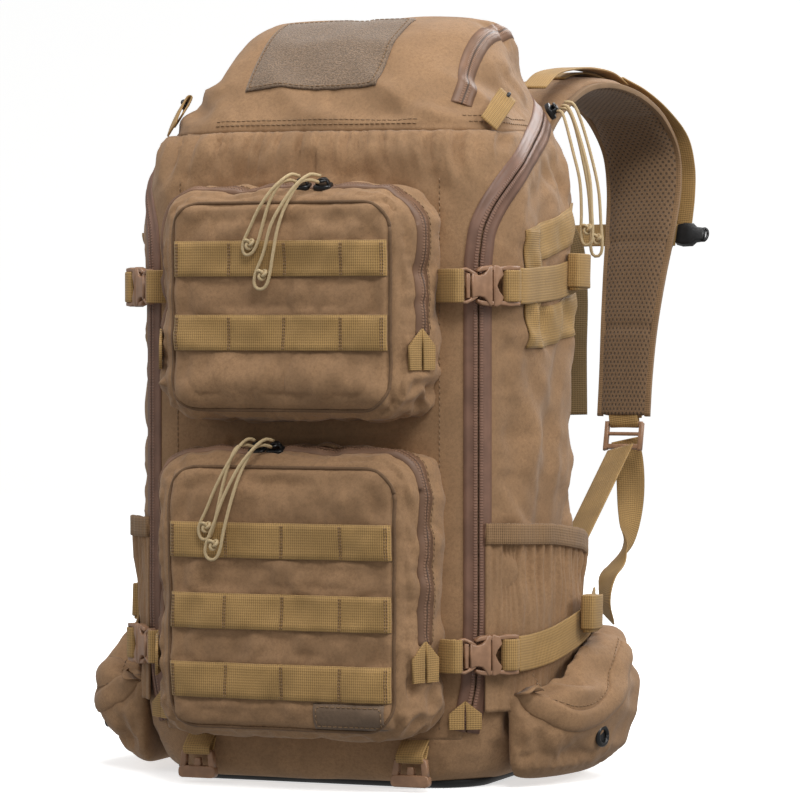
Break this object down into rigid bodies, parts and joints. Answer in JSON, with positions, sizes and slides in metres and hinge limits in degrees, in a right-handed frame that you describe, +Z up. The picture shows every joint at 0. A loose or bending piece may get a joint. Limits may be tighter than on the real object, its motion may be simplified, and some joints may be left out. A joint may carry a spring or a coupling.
{
  "type": "hunting backpack",
  "caption": "Standing hunting day pack with front flap, zipped pockets, webbing rows, compression buckles, hip wings and a padded shoulder harness.",
  "frame": {"origin": "middle of the base panel's underside, on the surface the pack stands on", "axes": "+Z up, +Y from the front pockets towards the harness, +X to the right of someone who faces the front"},
  "size_m": [0.3926, 0.5405, 0.5515],
  "materials": {
    "cordura": "matt coyote-brown nylon, fine weave",
    "base_fabric": "coated near-black base fabric",
    "frame_sheet": "stiff sheet",
    "stay": "bare rod",
    "spacer_mesh": "perforated spacer mesh over foam",
    "webbing": "ribbed flat webbing",
    "loop_patch": "fuzzy loop pile",
    "zip_tape": "semi-gloss coated zip tape",
    "buckle": "satin moulded plastic",
    "black_plastic": "satin black",
    "pull_cord": "braided cord"
  },
  "bodies": {
    "pack": {"main_bag": "cordura", "base_panel": "base_fabric", "frame_sheet": "frame_sheet", "frame_stay": "stay", "back_pad": "spacer_mesh", "lumbar_pad": "spacer_mesh", "harness_yoke": "cordura", "wing_left": "cordura", "wing_right": "cordura", "bottle_pocket_left": "cordura", "bottle_pocket_right": "cordura", "side_yoke_left": "webbing", "side_yoke_right": "webbing", "lower_strap_left": "webbing", "lower_strap_right": "webbing", "main_zip_left": "zip_tape", "main_zip_right": "zip_tape", "load_lifter_left": "webbing", "load_lifter_right": "webbing", "adjuster_webbing_left": "webbing", "adjuster_webbing_right": "webbing", "base_buckle_left": "buckle", "base_buckle_right": "buckle"},
    "flap": {"front_panel": "cordura", "lid": "cordura", "lid_patch": "loop_patch", "upper_pocket": "cordura", "lower_pocket": "cordura", "upper_row_1": "webbing", "upper_row_2": "webbing", "lower_row_1": "webbing", "lower_row_2": "webbing", "lower_row_3": "webbing", "upper_socket_left": "buckle", "upper_socket_right": "buckle", "lower_socket_left": "buckle", "lower_socket_right": "buckle"},
    "haul_loop": {"haul_loop": "webbing"},
    "harness": {"shoulder_strap_left": "spacer_mesh", "shoulder_strap_right": "spacer_mesh", "ladder_lock_left": "buckle", "ladder_lock_right": "buckle"},
    "sternum": {"sternum_strap": "webbing", "sternum_buckle": "black_plastic"},
    "upper_plug_left": {"upper_plug_left": "buckle"},
    "upper_plug_right": {"upper_plug_right": "buckle"},
    "lower_plug_left": {"lower_plug_left": "buckle"},
    "lower_plug_right": {"lower_plug_right": "buckle"},
    "upper_slider_left": {"upper_slider_left": "black_plastic", "upper_cord_left": "pull_cord"},
    "upper_slider_right": {"upper_slider_right": "black_plastic", "upper_cord_right": "pull_cord"},
    "lower_slider_left": {"lower_slider_left": "black_plastic", "lower_cord_left": "pull_cord"},
    "lower_slider_right": {"lower_slider_right": "black_plastic", "lower_cord_right": "pull_cord"},
    "main_slider_left": {"main_slider_left": "black_plastic"},
    "main_slider_right": {"main_slider_right": "black_plastic", "main_cord_front": "pull_cord", "main_cord_rear": "pull_cord"}
  },
  "joints": [
    {"name": "flap_open", "type": "hinge", "parent": "pack", "child": "flap", "pos_m": [0, -0.101, 0.037], "axis": [1, 0, 0], "range_deg": [0, 45]},
    {"name": "haul_loop_swing", "type": "hinge", "parent": "pack", "child": "haul_loop", "pos_m": [0, 0.11, 0.493], "axis": [1, 0, 0], "range_deg": [-75, 5]},
    {"name": "harness_swing", "type": "hinge", "parent": "pack", "child": "harness", "pos_m": [0, 0.114, 0.474], "axis": [1, 0, 0], "range_deg": [-12, 12], "deforming": ["load_lifter_left", "load_lifter_right", "adjuster_webbing_left", "adjuster_webbing_right"]},
    {"name": "sternum_height", "type": "slide", "parent": "harness", "child": "sternum", "axis": [0, 0.42, 0.9075], "range_m": [-0.03, 0.03]},
    {"name": "upper_buckle_left", "type": "slide", "parent": "pack", "child": "upper_plug_left", "axis": [-0.7071, 0.7071, 0], "range_m": [0, 0.018]},
    {"name": "upper_buckle_right", "type": "slide", "parent": "pack", "child": "upper_plug_right", "axis": [0.7071, 0.7071, 0], "range_m": [0, 0.018]},
    {"name": "lower_buckle_left", "type": "slide", "parent": "pack", "child": "lower_plug_left", "axis": [-0.7071, 0.7071, 0], "range_m": [0, 0.018]},
    {"name": "lower_buckle_right", "type": "slide", "parent": "pack", "child": "lower_plug_right", "axis": [0.7071, 0.7071, 0], "range_m": [0, 0.018]},
    {"name": "upper_zip_left", "type": "slide", "parent": "flap", "child": "upper_slider_left", "axis": [1, 0, 0], "range_m": [-0.05, 0]},
    {"name": "upper_zip_right", "type": "slide", "parent": "flap", "child": "upper_slider_right", "axis": [1, 0, 0], "range_m": [0, 0.034]},
    {"name": "lower_zip_left", "type": "slide", "parent": "flap", "child": "lower_slider_left", "axis": [1, 0, 0], "range_m": [-0.04, 0]},
    {"name": "lower_zip_right", "type": "slide", "parent": "flap", "child": "lower_slider_right", "axis": [1, 0, 0], "range_m": [0, 0.066]},
    {"name": "main_zip_left", "type": "slide", "parent": "pack", "child": "main_slider_left", "axis": [-0.3915, -0.7829, -0.4836], "range_m": [0, 0.03]},
    {"name": "main_zip_right", "type": "slide", "parent": "pack", "child": "main_slider_right", "axis": [0.3915, -0.7829, -0.4836], "range_m": [0, 0.03]}
  ]
}
